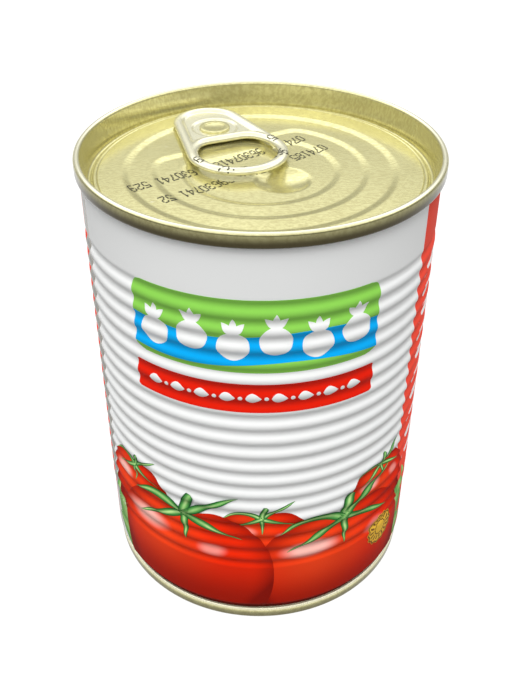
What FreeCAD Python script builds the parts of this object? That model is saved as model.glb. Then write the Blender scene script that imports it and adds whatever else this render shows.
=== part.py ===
"""Shut steel tin of tomato paste: beaded body, two double-seamed ends and a ring pull.

The frame is in millimetres with +Z up. The origin is the centre of the ring that the
tin stands on. The tin is filled, so the body is one solid, and each end is a solid
that sits face to face on it. The wall goes on past the body's top as a ring round the
top end, and the ring pull is held by the rivet of the top end.
"""
import FreeCAD, Part
import math
import os

# Overall sizes
can_height = 104.8           # floor to the top rim
body_radius = 37.25          # plain wall of the body
top_seam_proud = 0.9         # upper seam past the body's wall
neck_step = 1.15             # how far the wall is drawn in above the lower seam
bottom_seam_proud = 0.75     # lower seam past the neck

# Beads rolled into the wall
top_groove_drop = 15.5       # top rim down to the middle of the first groove
bottom_groove_height = 19.8  # floor up to the middle of the last groove
groove_spacing = 3.86
groove_depth = 0.32          # groove's bottom inside the plain wall
bead_height = 0.14           # bead's top outside the plain wall
groove_round = 2.1           # hollow rounding of a groove's bottom
bead_round = 2.1             # rounding of a bead
run_out_round = 2.1          # rounding where the outer grooves meet the plain wall
neck_round = 1.6             # rounding at both ends of the neck
neck_land = 0.45             # straight neck above the lower seam

# Double seams
seam_height = 3.1
seam_wall = 1.45             # thickness of a seam, outside to inside
seam_top_round = 0.7
seam_foot_round = 0.5
chuck_slope = 0.7            # how far the wall inside a seam leans in
chuck_wall = 0.45            # thickness of that wall

# Top end
panel_drop = 4.95            # top rim down to the outer panel
countersink_depth = 0.95     # groove round the panel, below the panel
countersink_width = 1.3
panel_round = 0.35           # rounding of the panel's outer edge
score_inset = 0.9            # panel's edge in to the score line
score_width = 0.3
score_depth = 0.12
top_end_floor = 2.45         # outer panel down to the face that sits on the body

# Terraces pressed into the top panel: how far in from the panel's edge the middle of
# each slope lies, how far from the rivet a chord cuts it off, and the step down
terrace_slope = 1.7          # width of a slope in plan
terrace_corner = 4.0         # rounding where a chord meets its circle
round_terrace = (6.7, 0.30)
chord_terraces = ((12.7, 6.6, 0.25), (18.7, 11.8, 0.25))

# Finger dimple
dimple_past_ring = 2.2       # ring's end on to the middle of the dimple
dimple_aside = 1.5
dimple_radius = 6.2
dimple_depth = 1.2

# Rivet
rivet_angle = 120.0          # seen from above, from +X
boss_radius = 4.2
stem_radius = 2.6
head_radius = 3.4
head_thickness = 0.5
head_round = 0.2
head_dish_radius = 2.3
head_dish_depth = 0.15

# Ring pull, measured from the rivet along the tab
tab_twist = -6.6             # turn of the tab from the line between rivet and axis
tab_top_drop = 3.2           # top rim down to the top of the tab
tab_thickness = 1.6
tab_edge_round = 0.7
nose_to_score = 1.4          # nose's tip to the score line, before the twist
nose_back = 3.7              # rivet back to the centre of the nose's round
nose_radius = 8.0
ring_ahead = 13.9            # rivet on to the centre of the ring's round
ring_radius = 10.9
ring_width = 2.5             # rolled edge between the ring's outside and its hole
hole_start = 7.1             # rivet on to the straight side of the finger hole
hole_corner = 3.6
nose_rim = 2.6               # rolled edge round the nose
nose_recess_depth = 0.8
nose_recess_corner = 2.0
nose_recess_round = 0.4
web_thickness = 0.6          # plate that the rivet clamps

# Bottom end
bottom_panel_height = 3.9    # floor up to the panel
bottom_end_top = 4.6         # floor up to the face that sits in the body
bottom_bead_insets = (5.9, 13.9)
bottom_bead_width = 2.4
bottom_bead_depth = 0.5

# Worked out from the sizes above
top_seam_radius = body_radius + top_seam_proud
neck_radius = body_radius - neck_step
bottom_seam_radius = neck_radius + bottom_seam_proud
groove_radius = body_radius - groove_depth
crest_radius = body_radius + bead_height
chuck_foot_radius = top_seam_radius - seam_wall - chuck_slope
top_bore_radius = chuck_foot_radius + chuck_wall
bottom_foot_radius = bottom_seam_radius - seam_wall - chuck_slope
bottom_bore_radius = bottom_foot_radius + chuck_wall
panel_radius = chuck_foot_radius - countersink_width
score_radius = panel_radius - score_inset
top_seam_foot = can_height - seam_height
panel_z = can_height - panel_drop
top_seat_z = panel_z - top_end_floor
rivet_distance = score_radius - nose_to_score - nose_radius - nose_back
tab_top_z = can_height - tab_top_drop
tab_foot_z = tab_top_z - tab_thickness
web_top_z = tab_top_z - nose_recess_depth
web_foot_z = web_top_z - web_thickness
Z_AXIS = FreeCAD.Vector(0, 0, 1)


def polar(centre, radius, degrees):
    angle = math.radians(degrees)
    return (centre[0] + radius * math.cos(angle), centre[1] + radius * math.sin(angle))


# Profiles are drawn in the XZ plane as (radius, height) and turned about the Z axis.

def line(start, end):
    return Part.LineSegment(FreeCAD.Vector(start[0], 0, start[1]),
                            FreeCAD.Vector(end[0], 0, end[1])).toShape()


def lines(*points):
    return [line(a, b) for a, b in zip(points, points[1:])]


def bow(centre, radius, first, last):
    """Arc of a profile about a centre, from one angle to another in degrees."""
    points = [polar(centre, radius, a) for a in (first, (first + last) / 2, last)]
    return Part.Arc(*[FreeCAD.Vector(r, 0, z) for r, z in points]).toShape()


def turned(edges):
    """Solid made by turning a closed profile about the tin's axis."""
    face = Part.Face(Part.Wire(Part.__sortEdges__(edges)))
    return face.revolve(FreeCAD.Vector(0, 0, 0), Z_AXIS, 360)


def s_curve(inner, outer, z_inner, inner_round, outer_round, up):
    """Two tangent arcs that lead from a smaller radius out to a larger one.

    Both ends are upright, and up is 1 where the larger radius lies above, else -1.
    Returns the arcs and the height where the larger radius is reached.
    """
    turn = math.degrees(math.acos(1 - (outer - inner) / (inner_round + outer_round)))
    z_outer = z_inner + up * (inner_round + outer_round) * math.sin(math.radians(turn))
    arcs = [bow((inner + inner_round, z_inner), inner_round, 180, 180 - up * turn),
            bow((outer - outer_round, z_outer), outer_round, -up * turn, 0)]
    return arcs, z_outer


def bead_wave():
    """Edges of the beaded wall, and the heights at which the plain wall takes over."""
    top = can_height - top_groove_drop
    span = top - bottom_groove_height
    count = round(span / groove_spacing) + 1
    pitch = span / (count - 1)
    edges, plain_above = s_curve(groove_radius, body_radius, top, groove_round,
                                 run_out_round, 1)
    for index in range(count - 1):
        upper = top - index * pitch
        down, shoulder = s_curve(groove_radius, crest_radius, upper, groove_round,
                                 bead_round, -1)
        up, foot = s_curve(groove_radius, crest_radius, upper - pitch, groove_round,
                           bead_round, 1)
        edges += down + up + lines((crest_radius, shoulder), (crest_radius, foot))
    run_out, plain_below = s_curve(groove_radius, body_radius, bottom_groove_height,
                                   groove_round, run_out_round, -1)
    return edges + run_out, plain_above, plain_below


def can_body():
    """Filled body with its beaded wall, drawn in above the lower seam."""
    beads, plain_above, plain_below = bead_wave()
    neck_z = seam_height + neck_land
    neck, shoulder_z = s_curve(neck_radius, body_radius, neck_z, neck_round, neck_round, 1)
    upper = lines((body_radius, plain_above), (body_radius, top_seat_z), (0, top_seat_z),
                  (0, bottom_end_top), (bottom_bore_radius, bottom_end_top),
                  (bottom_bore_radius, seam_height), (neck_radius, seam_height),
                  (neck_radius, neck_z))
    lower = lines((body_radius, shoulder_z), (body_radius, plain_below))
    return turned(beads + neck + upper + lower)


def wall_rim():
    """Wall from the body's top up into the upper seam, round the top end."""
    return turned(lines((top_bore_radius, top_seat_z), (body_radius, top_seat_z),
                        (body_radius, top_seam_foot), (top_bore_radius, top_seam_foot),
                        (top_bore_radius, top_seat_z)))


def round_slope(radius, top_z, drop, overrun=0.1):
    """Cutter for a round terrace: everything above a cone-sided floor."""
    reach = terrace_slope * overrun / drop
    outer = radius + terrace_slope / 2 + reach
    inner = radius - terrace_slope / 2
    return turned(lines((0, top_z - drop), (inner, top_z - drop), (outer, top_z + overrun),
                        (0, top_z + overrun), (0, top_z - drop)))


# Flat outlines are drawn with the rivet lying towards +X of the outline's own frame.

def chord_outline(radius, chord, corner, z):
    """Circle cut off by a chord on its +X side, with rounded corners."""
    aside = math.sqrt((radius - corner) ** 2 - (chord - corner) ** 2)
    lean = math.degrees(math.atan2(aside, chord - corner))
    edges = []
    for side in (1, -1):
        centre = (chord - corner, side * aside)
        points = [polar(centre, corner, side * a) for a in (0, lean / 2, lean)]
        edges.append(Part.Arc(*[FreeCAD.Vector(x, y, z) for x, y in points]).toShape())
    ends = [polar((0, 0), radius, side * lean) for side in (1, -1)]
    edges.append(Part.Arc(FreeCAD.Vector(*ends[0], z), FreeCAD.Vector(-radius, 0, z),
                          FreeCAD.Vector(*ends[1], z)).toShape())
    edges.append(Part.LineSegment(FreeCAD.Vector(chord, aside, z),
                                  FreeCAD.Vector(chord, -aside, z)).toShape())
    return Part.Wire(Part.__sortEdges__(edges))


def chord_slope(radius, chord, top_z, drop, overrun=0.1):
    """Cutter for a terrace whose circle is cut off near the rivet."""
    half = terrace_slope / 2
    reach = terrace_slope * overrun / drop
    wires = []
    for grow, z in ((-half, top_z - drop), (half + reach, top_z + overrun)):
        wires.append(chord_outline(radius + grow, chord + grow, terrace_corner + grow, z))
    cutter = Part.makeLoft(wires, True, True)
    cutter.rotate(FreeCAD.Vector(0, 0, 0), Z_AXIS, rivet_angle)
    return cutter


def top_seam_and_panel():
    """Turned blank of the top end, before its panel is pressed."""
    inner = top_seam_radius - seam_wall
    crown = can_height - seam_top_round
    groove_r = countersink_width / 2
    groove_z = panel_z - countersink_depth + groove_r
    edges = lines((0, panel_z), (0, top_seat_z), (top_bore_radius, top_seat_z),
                  (top_bore_radius, top_seam_foot),
                  (top_seam_radius - seam_foot_round, top_seam_foot))
    edges.append(bow((top_seam_radius - seam_foot_round, top_seam_foot + seam_foot_round),
                     seam_foot_round, -90, 0))
    edges += lines((top_seam_radius, top_seam_foot + seam_foot_round), (top_seam_radius, crown))
    edges.append(bow((top_seam_radius - seam_top_round, crown), seam_top_round, 0, 90))
    edges += lines((top_seam_radius - seam_top_round, can_height),
                   (inner + seam_top_round, can_height))
    edges.append(bow((inner + seam_top_round, crown), seam_top_round, 90, 180))
    edges += lines((inner, crown), (chuck_foot_radius, groove_z))
    edges.append(bow((panel_radius + groove_r, groove_z), groove_r, 0, -180))
    edges += lines((panel_radius, groove_z), (panel_radius, panel_z - panel_round))
    edges.append(bow((panel_radius - panel_round, panel_z - panel_round), panel_round, 0, 90))
    edges += lines((panel_radius - panel_round, panel_z), (0, panel_z))
    return turned(edges)


def score_cutter():
    """V-shaped line along which the panel tears open."""
    half = score_width / 2
    return turned(lines((score_radius - half, panel_z), (score_radius, panel_z - score_depth),
                        (score_radius + half, panel_z), (score_radius, panel_z + score_depth),
                        (score_radius - half, panel_z)))


def rivet(foot_z):
    """Raised boss, stem and dished head that clamp the ring pull's web."""
    head_top = web_top_z + head_thickness
    slant = web_foot_z - foot_z
    head = turned(lines((0, web_top_z), (head_radius, web_top_z),
                        (head_radius, head_top - head_round),
                        (head_radius - head_round, head_top),
                        (head_dish_radius + head_dish_depth, head_top),
                        (head_dish_radius, head_top - head_dish_depth),
                        (0, head_top - head_dish_depth), (0, web_top_z)))
    stem = turned(lines((0, foot_z), (boss_radius + slant, foot_z), (boss_radius, web_foot_z),
                        (stem_radius, web_foot_z), (stem_radius, web_top_z),
                        (0, web_top_z), (0, foot_z)))
    return stem.fuse(head).removeSplitter()


def rivet_place():
    x, y = polar((0, 0), rivet_distance, rivet_angle)
    return FreeCAD.Vector(x, y, 0)


def dimple_cutter(floor_z):
    """Ball that leaves the bowl under the end of the ring."""
    ball = (dimple_radius ** 2 + dimple_depth ** 2) / (2 * dimple_depth)
    along = rivet_distance - ring_ahead - ring_radius - dimple_past_ring
    x, y = polar((0, 0), along, rivet_angle)
    aside_x, aside_y = polar((0, 0), dimple_aside, rivet_angle - 90)
    centre = FreeCAD.Vector(x + aside_x, y + aside_y, floor_z - dimple_depth + ball)
    return Part.makeSphere(ball, centre)


def top_end():
    """Easy-open end: seam, sloping wall, countersink, terraced panel and rivet."""
    inset, drop = round_terrace
    end = top_seam_and_panel().cut(score_cutter())
    end = end.cut(round_slope(panel_radius - inset, panel_z, drop))
    rivet_floor = panel_z - drop
    floor_z = rivet_floor
    for inset, rivet_gap, drop in chord_terraces:
        chord = rivet_distance - rivet_gap
        end = end.cut(chord_slope(panel_radius - inset, chord, floor_z, drop))
        floor_z -= drop
    end = end.cut(dimple_cutter(floor_z))
    fastener = rivet(rivet_floor)
    fastener.translate(rivet_place())
    return end.fuse(fastener).removeSplitter()


def bottom_end():
    """Lower seam with its recessed, beaded panel."""
    inner = bottom_seam_radius - seam_wall
    outer_foot = bottom_seam_radius - seam_top_round
    inner_foot = inner + seam_top_round
    edges = lines((outer_foot, 0), (inner_foot, 0))
    edges.append(bow((inner_foot, seam_top_round), seam_top_round, -90, -180))
    edges += lines((inner, seam_top_round), (bottom_foot_radius, bottom_panel_height))
    outline = [(bottom_foot_radius, bottom_panel_height)]
    for inset in bottom_bead_insets:
        middle = bottom_foot_radius - inset
        half = bottom_bead_width / 2
        outline += [(middle + half, bottom_panel_height),
                    (middle, bottom_panel_height - bottom_bead_depth),
                    (middle - half, bottom_panel_height)]
    outline += [(0, bottom_panel_height), (0, bottom_end_top),
                (bottom_bore_radius, bottom_end_top), (bottom_bore_radius, seam_height),
                (bottom_seam_radius - seam_foot_round, seam_height)]
    edges += lines(*outline)
    edges.append(bow((bottom_seam_radius - seam_foot_round, seam_height - seam_foot_round),
                     seam_foot_round, 90, 0))
    edges += lines((bottom_seam_radius, seam_height - seam_foot_round),
                   (bottom_seam_radius, seam_top_round))
    edges.append(bow((outer_foot, seam_top_round), seam_top_round, 0, -90))
    return turned(edges)


def tab_outline(inset, z):
    """Nose round and ring round with the straight sides that join them."""
    nose, ring = nose_radius - inset, ring_radius - inset
    nose_x, ring_x = -nose_back, ring_ahead
    lean = math.degrees(math.acos((nose - ring) / (ring_x - nose_x)))
    edges = []
    for centre_x, radius, far_x in ((nose_x, nose, nose_x - nose), (ring_x, ring, ring_x + ring)):
        upper = polar((centre_x, 0), radius, lean)
        lower = polar((centre_x, 0), radius, -lean)
        edges.append(Part.Arc(FreeCAD.Vector(*upper, z), FreeCAD.Vector(far_x, 0, z),
                              FreeCAD.Vector(*lower, z)).toShape())
    for side in (1, -1):
        start = polar((nose_x, 0), nose, side * lean)
        end = polar((ring_x, 0), ring, side * lean)
        edges.append(Part.LineSegment(FreeCAD.Vector(*start, z),
                                      FreeCAD.Vector(*end, z)).toShape())
    return Part.Wire(Part.__sortEdges__(edges))


def prism(wire, height):
    return Part.Face(wire).extrude(FreeCAD.Vector(0, 0, height))


def level_edges(shape, levels, x_range):
    """Edges that lie flat at one of the heights and within a stretch of the tab."""
    found = []
    for edge in shape.Edges:
        box = edge.BoundBox
        flat = any(abs(box.ZMin - z) < 1e-6 and abs(box.ZMax - z) < 1e-6 for z in levels)
        if flat and x_range[0] < box.XMin and box.XMax < x_range[1]:
            found.append(edge)
    return found


def ring_pull():
    """Pull tab: rolled outer edge, recessed web round the rivet and a finger hole."""
    levels = (tab_foot_z, tab_top_z)
    everywhere = (-2 * can_height, 2 * can_height)
    tab = prism(tab_outline(0, tab_foot_z), tab_thickness)
    tab = tab.makeFillet(tab_edge_round, level_edges(tab, levels, everywhere))

    hole = chord_outline(ring_radius - ring_width, ring_ahead - hole_start, hole_corner,
                         tab_foot_z)
    hole.rotate(FreeCAD.Vector(0, 0, 0), Z_AXIS, 180)
    hole.translate(FreeCAD.Vector(ring_ahead, 0, 0))
    tab = tab.cut(prism(hole, tab_thickness))
    hole_stretch = (hole_start - 0.01, ring_ahead + ring_radius - ring_width + 0.01)
    tab = tab.makeFillet(tab_edge_round, level_edges(tab, levels, hole_stretch))

    recess_end = hole_start - ring_width
    for z, height in ((web_top_z, nose_recess_depth), (tab_foot_z, web_foot_z - tab_foot_z)):
        pocket = prism(tab_outline(nose_rim, z), height)
        start = FreeCAD.Vector(-2 * can_height, -can_height, z)
        pocket = pocket.common(Part.makeBox(2 * can_height + recess_end, 2 * can_height,
                                            height, start))
        corners = [e for e in pocket.Edges
                   if e.BoundBox.ZLength > height / 2 and abs(e.BoundBox.XMin - recess_end) < 1e-6]
        pocket = pocket.makeFillet(nose_recess_corner, corners)
        tab = tab.cut(pocket)
    recess_stretch = (-nose_back - nose_radius + nose_rim - 0.01, recess_end + 0.01)
    tab = tab.makeFillet(nose_recess_round, level_edges(tab, (tab_top_z,), recess_stretch))
    tab = tab.cut(Part.makeCylinder(stem_radius, web_thickness,
                                    FreeCAD.Vector(0, 0, web_foot_z)))

    tab.rotate(FreeCAD.Vector(0, 0, 0), Z_AXIS, rivet_angle - 180 + tab_twist)
    tab.translate(rivet_place())
    return tab


def main():
    os.makedirs("parts", exist_ok=True)
    for node in (can_body, wall_rim, top_end, bottom_end, ring_pull):
        shape = node()
        solid = shape.Solids[0] if len(shape.Solids) == 1 else shape
        print(node.__name__, "valid", solid.isValid(), "solids", len(shape.Solids),
              "volume mm3", round(solid.Volume, 1), "box", solid.BoundBox)
        solid.exportStep("parts/" + node.__name__ + ".step")


main()
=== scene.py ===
"""Looks of a shut steel food tin: beaded printed wall, lacquered ends and a ring pull.

Everything is in metres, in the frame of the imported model: +Z up, the origin at the middle
of the ring that the tin stands on, and the front of the print towards -Y.
"""

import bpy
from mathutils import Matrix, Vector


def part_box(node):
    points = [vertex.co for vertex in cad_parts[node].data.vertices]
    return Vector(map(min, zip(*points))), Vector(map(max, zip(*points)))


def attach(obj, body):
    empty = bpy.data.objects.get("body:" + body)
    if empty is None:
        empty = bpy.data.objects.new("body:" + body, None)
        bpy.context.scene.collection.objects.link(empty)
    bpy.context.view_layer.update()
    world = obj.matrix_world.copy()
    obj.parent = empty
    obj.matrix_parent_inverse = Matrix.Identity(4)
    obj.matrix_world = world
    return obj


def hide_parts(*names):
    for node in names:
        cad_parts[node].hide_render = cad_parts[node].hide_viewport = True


bl_info = {
    "name": "Beaded Food Tin",
    "version": (1, 0, 0),
    "blender": (4, 5, 0),
    "location": "3D View > Sidebar > Tin",
    "description": "Builds the wall, ends, ring pull and generic print of a food tin",
    "category": "Object",
}

import math
from contextlib import contextmanager

import bmesh
import bpy
import numpy as np
from bpy.props import FloatProperty, FloatVectorProperty, IntProperty, PointerProperty
from mathutils import Matrix, Vector
from mathutils.bvhtree import BVHTree

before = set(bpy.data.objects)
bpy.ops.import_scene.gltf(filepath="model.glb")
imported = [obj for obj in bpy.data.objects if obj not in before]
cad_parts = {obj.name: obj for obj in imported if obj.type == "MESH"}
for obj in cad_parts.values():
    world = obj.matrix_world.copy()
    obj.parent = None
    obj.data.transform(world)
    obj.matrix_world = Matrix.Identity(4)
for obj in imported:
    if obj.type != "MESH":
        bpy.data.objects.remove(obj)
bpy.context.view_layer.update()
MM = 0.001
BODY = "root"
WALL_LOW, WALL_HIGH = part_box("can_body")[0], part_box("wall_rim")[1]
TOP_LOW, TOP_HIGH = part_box("top_end")
FOOT_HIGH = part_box("bottom_end")[1]
TAB_LOW, TAB_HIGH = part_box("ring_pull")
FULL_TURN = 2 * math.pi
NEAR = 0.001 * MM                   # points closer together than this are one point
SEAL_RAYS = 16
WALL_SIDES, LID_SIDES, BOTTOM_SIDES, RIVET_SIDES = 240, 300, 240, 72

# Tones of single features, in linear light
GOLD_DEEP = (0.36, 0.31, 0.11)
TAB_DEEP = (0.58, 0.56, 0.38)
RUBBED = (0.86, 0.85, 0.74)
# Painted shade of a seam's outer face
SEAM_PAINTED_SHADE = (0.036, 0.027, 0.007)
# Painted highlight along a seam's crown
SEAM_PAINTED_HIGHLIGHT = (0.95, 0.93, 0.74)
WELD_DARK = (0.16, 0.165, 0.17)
BAR_GREY = (0.16, 0.16, 0.17)
GLEAM = (1.0, 0.78, 0.70)
# Painted shade at the foot of the printed tomatoes
PAINTED_FOOT_SHADE = (0.045, 0.010, 0.006)
SEAL_MARK = (0.13, 0.045, 0.015)


# ---------------------------------------------------------------- sizes and colours

def length(name, description, millimetres):
    return FloatProperty(name=name, description=description, default=millimetres * MM,
                         subtype="DISTANCE", unit="LENGTH", precision=5)


def turn(name, description, degrees):
    return FloatProperty(name=name, description=description, default=math.radians(degrees),
                         subtype="ANGLE", unit="ROTATION")


def tint(name, description, red, green, blue):
    """Colour given as it looks on a screen, from 0 to 255, and kept as linear light."""
    def linear(value):
        value /= 255
        return value / 12.92 if value <= 0.04045 else ((value + 0.055) / 1.055) ** 2.4
    return FloatVectorProperty(name=name, description=description, subtype="COLOR", size=3,
                               min=0, max=1, default=[linear(v) for v in (red, green, blue)])


class TinWallSizes(bpy.types.PropertyGroup):
    radius: length("Wall radius", "Plain wall of the body", 37.25)
    bead_height: length("Bead height", "Top of a bead outside the plain wall", 0.14)
    groove_depth: length("Groove depth", "Bottom of a groove inside the plain wall", 0.32)
    groove_round: length("Groove rounding", "Rounding of the grooves and of the beads", 2.1)
    top_groove: length("Top groove", "Height of the middle of the first groove", 89.3)
    bottom_groove: length("Bottom groove", "Height of the middle of the last groove", 19.8)
    groove_count: IntProperty(name="Grooves", description="Number of grooves", default=19, min=2)
    neck_step: length("Neck step", "How far the wall is drawn in above the lower seam", 1.15)
    neck_top: length("Neck top", "Height at which the wall starts to draw in", 6.0)
    neck_height: length("Neck height", "Height of the drawn-in curve", 2.45)
    bore_inset: length("Bore inset", "Plain wall in to the bore that an end sits in", 0.8)
    weld_start: turn("Weld edge", "Edge of the bare weld margin on the front's side", -67.5)
    weld_end: turn("Weld far edge", "Far edge of the bare weld margin", -75.0)
    back_start: turn("Back field", "Right edge of the white front", 59.8)


class TinEndSizes(bpy.types.PropertyGroup):
    seam_wall: length("Seam thickness", "Outside to inside of a seam", 1.45)
    seam_round: length("Seam rounding", "Rounding of a seam's crown", 0.7)
    foot_round: length("Seam foot rounding", "Rounding of a seam's lower edge", 0.5)
    chuck_slope: length("Chuck slope", "How far the wall inside a seam leans in", 0.7)
    chuck_wall: length("Chuck wall", "Thickness of the wall inside a seam", 0.45)
    panel_drop: length("Panel drop", "Top rim down to the outer panel", 4.95)
    countersink_depth: length("Countersink", "Groove round the panel, below it", 0.95)
    countersink_width: length("Countersink width", "Width of that groove", 1.3)
    panel_round: length("Panel rounding", "Rounding of the panel's edge", 0.35)
    score_inset: length("Score inset", "Panel's edge in to the score line", 0.9)
    score_width: length("Score width", "Width of the score line", 0.34)
    score_depth: length("Score depth", "Depth of the score line", 0.12)
    slope_width: length("Slope width", "Width of a terrace's slope", 1.7)
    corner: length("Terrace corner", "Rounding where a chord meets its circle", 4.0)
    bottom_panel: length("Bottom panel", "Floor up to the bottom panel", 3.9)
    bottom_bead_width: length("Bottom bead width", "Width of a bead in the bottom", 2.4)
    bottom_bead_depth: length("Bottom bead depth", "Depth of a bead in the bottom", 0.5)
    dimple_past_ring: length("Dimple past ring", "Ring's end on to the dimple's middle", 2.2)
    dimple_aside: length("Dimple aside", "Dimple's middle to the side of the tab", 1.5)
    dimple_radius: length("Dimple radius", "Radius of the finger dimple", 6.2)
    dimple_depth: length("Dimple depth", "Depth of the finger dimple", 1.2)
    rivet_angle: turn("Rivet angle", "Turn of the rivet, seen from above, from +X", 120)
    boss_radius: length("Boss radius", "Radius of the rise under the rivet", 4.2)
    head_radius: length("Rivet radius", "Radius of the rivet's head", 3.4)
    head_thickness: length("Rivet thickness", "Thickness of the rivet's head", 0.5)


class TinTabSizes(bpy.types.PropertyGroup):
    twist: turn("Twist", "Turn of the tab from the line to the tin's axis", -6.6)
    nose_to_score: length("Nose to score", "Nose's tip to the score line", 1.4)
    nose_back: length("Nose back", "Rivet back to the centre of the nose's round", 3.7)
    nose_radius: length("Nose radius", "Outside of the nose", 8.0)
    ring_ahead: length("Ring ahead", "Rivet on to the centre of the ring's round", 13.9)
    ring_radius: length("Ring radius", "Outside of the ring", 10.9)
    ring_width: length("Ring width", "Rolled edge beside the finger hole", 2.5)
    hole_start: length("Hole start", "Rivet on to the hole's straight side", 7.1)
    hole_corner: length("Hole corner", "Rounding of the finger hole's corners", 3.6)
    recess_depth: length("Recess depth", "Tab's top down to the plate under the rivet", 0.8)
    web_thickness: length("Plate thickness", "Plate that the rivet clamps", 0.6)
    collar_radius: length("Collar radius", "Round dip in the plate about the rivet", 5.0)
    collar_depth: length("Collar depth", "Depth of that dip", 0.26)
    voxel: length("Mesh step", "Size of the tab's mesh faces", 0.17)


class TinColours(bpy.types.PropertyGroup):
    white: tint("White", "Enamel of the wall", 236, 237, 236)
    green: tint("Green", "Green of the panel", 138, 206, 84)
    blue: tint("Blue", "Blue of the panel", 12, 166, 236)
    red: tint("Red", "Red of the band", 222, 32, 12)
    back_red: tint("Back red", "Red of the field behind", 247, 78, 58)
    tomato: tint("Tomato", "Middle tone of the tomatoes", 236, 42, 8)
    tomato_deep: tint("Tomato shade", "Shaded side of the tomatoes", 138, 16, 2)
    tomato_light: tint("Tomato light", "Lit side of the tomatoes", 242, 68, 26)
    sepal: tint("Sepal", "Green of the stalks", 86, 158, 76)
    sepal_deep: tint("Sepal shade", "Shade on the stalks", 22, 80, 36)
    sepal_light: tint("Sepal light", "Light on the stalks", 192, 228, 150)
    leaf: tint("Leaf", "Green of the leaves", 122, 180, 90)
    seal: tint("Seal", "Gold of the round seal", 236, 188, 64)
    gold: tint("Gold lacquer", "Lacquer of the ends", 229, 224, 165)
    tab: tint("Tab lacquer", "Lacquer of the ring pull", 248, 245, 214)
    steel: tint("Bare steel", "Tinplate of the weld margin", 128, 124, 112)
    ink: tint("Ink", "Ink of the stamped digits", 24, 24, 16)


def sizes(kind):
    return getattr(bpy.context.scene, "tin_" + kind)


# ---------------------------------------------------------------- node trees

def math_method(operation, swapped=False):
    """Method of Term that adds one math node."""
    def apply(term, other=None):
        first, second = (other, term) if swapped else (term, other)
        return term.nodes.math(operation, first, second)
    return apply


class Term:
    """Output of a node that can be reckoned with: each operator adds a math node."""
    __add__ = math_method("ADD")
    __sub__ = math_method("SUBTRACT")
    __rsub__ = math_method("SUBTRACT", swapped=True)
    __mul__ = math_method("MULTIPLY")
    __truediv__ = math_method("DIVIDE")
    __pow__ = math_method("POWER")
    __gt__ = math_method("GREATER_THAN")
    __lt__ = math_method("LESS_THAN")
    __abs__ = math_method("ABSOLUTE")

    def __init__(self, nodes, socket):
        self.nodes = nodes
        self.socket = socket


class Nodes:
    """Short ways to add and join nodes in one tree."""

    def __init__(self, tree):
        self.tree = tree

    def put(self, socket, value):
        if isinstance(value, Term):
            self.tree.links.new(value.socket, socket)
        elif value is not None:
            socket.default_value = value

    def add(self, kind, inputs=None, output=0, **settings):
        """Adds a node and gives the output asked for, if the node has any."""
        node = self.tree.nodes.new(kind)
        for name, value in settings.items():
            setattr(node, name, value)
        for name, value in (inputs or {}).items():
            self.put(node.inputs[name], value)
        return Term(self, node.outputs[output]) if node.outputs else None

    def math(self, operation, *values, clamp=False):
        return self.add("ShaderNodeMath", dict(enumerate(values)), operation=operation,
                        use_clamp=clamp)

    def larger(self, a, b):
        return self.math("MAXIMUM", a, b)

    def smaller(self, a, b):
        return self.math("MINIMUM", a, b)

    def reach(self, x, y):
        """Distance of the point x, y from the origin."""
        return self.math("SQRT", x ** 2.0 + y ** 2.0)

    def between(self, value, low, high, start=0.0, end=1.0):
        """Value mapped from low..high to start..end, eased and held at both ends."""
        return self.add("ShaderNodeMapRange", {
            "Value": value, "From Min": low, "From Max": high, "To Min": start, "To Max": end},
            "Result", interpolation_type="SMOOTHSTEP")

    def mix(self, factor, a, b):
        """Mix of two colours, each a term or three numbers."""
        a, b = ((*c, 1.0) if hasattr(c, "__len__") else c for c in (a, b))
        return self.add("ShaderNodeMix", {0: factor, 6: a, 7: b}, 2, data_type="RGBA")

    def noise(self, vector, scale, detail=2.0, roughness=0.5):
        return self.add("ShaderNodeTexNoise", {"Vector": vector, "Scale": scale,
                                               "Detail": detail, "Roughness": roughness}, "Fac")

    def parts(self, vector):
        """The three coordinates of a vector."""
        first = self.add("ShaderNodeSeparateXYZ", {"Vector": vector})
        return [Term(self, socket) for socket in first.socket.node.outputs]


def geometry_group(name, inputs):
    """Helper and inputs of a new Geometry Nodes tree, which also takes a mesh and a material."""
    tree = bpy.data.node_groups.new(name, "GeometryNodeTree")
    tree.interface.new_socket("Geometry", in_out="OUTPUT", socket_type="NodeSocketGeometry")
    for label, kind in (("Geometry", "Geometry"), *inputs, ("Material", "Material")):
        tree.interface.new_socket(label, in_out="INPUT", socket_type="NodeSocket" + kind)
    nodes = Nodes(tree)
    given = tree.nodes.new("NodeGroupInput")
    return nodes, {socket.name: Term(nodes, socket) for socket in given.outputs}


def close_group(nodes, geometry, given):
    """Realize Instances and Set Material, then the tree's output."""
    real = nodes.add("GeometryNodeRealizeInstances", {"Geometry": geometry})
    finish = nodes.add("GeometryNodeSetMaterial", {"Geometry": real,
                                                   "Material": given["Material"]})
    nodes.add("NodeGroupOutput", {"Geometry": finish})
    return nodes.tree


# Sizes of the wall that shape the beads and the neck, as inputs of the wall's tree
WALL_RULE = ("radius", "bead_height", "groove_depth", "groove_round", "top_groove",
             "bottom_groove", "groove_count", "neck_step", "neck_top", "neck_height")


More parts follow.
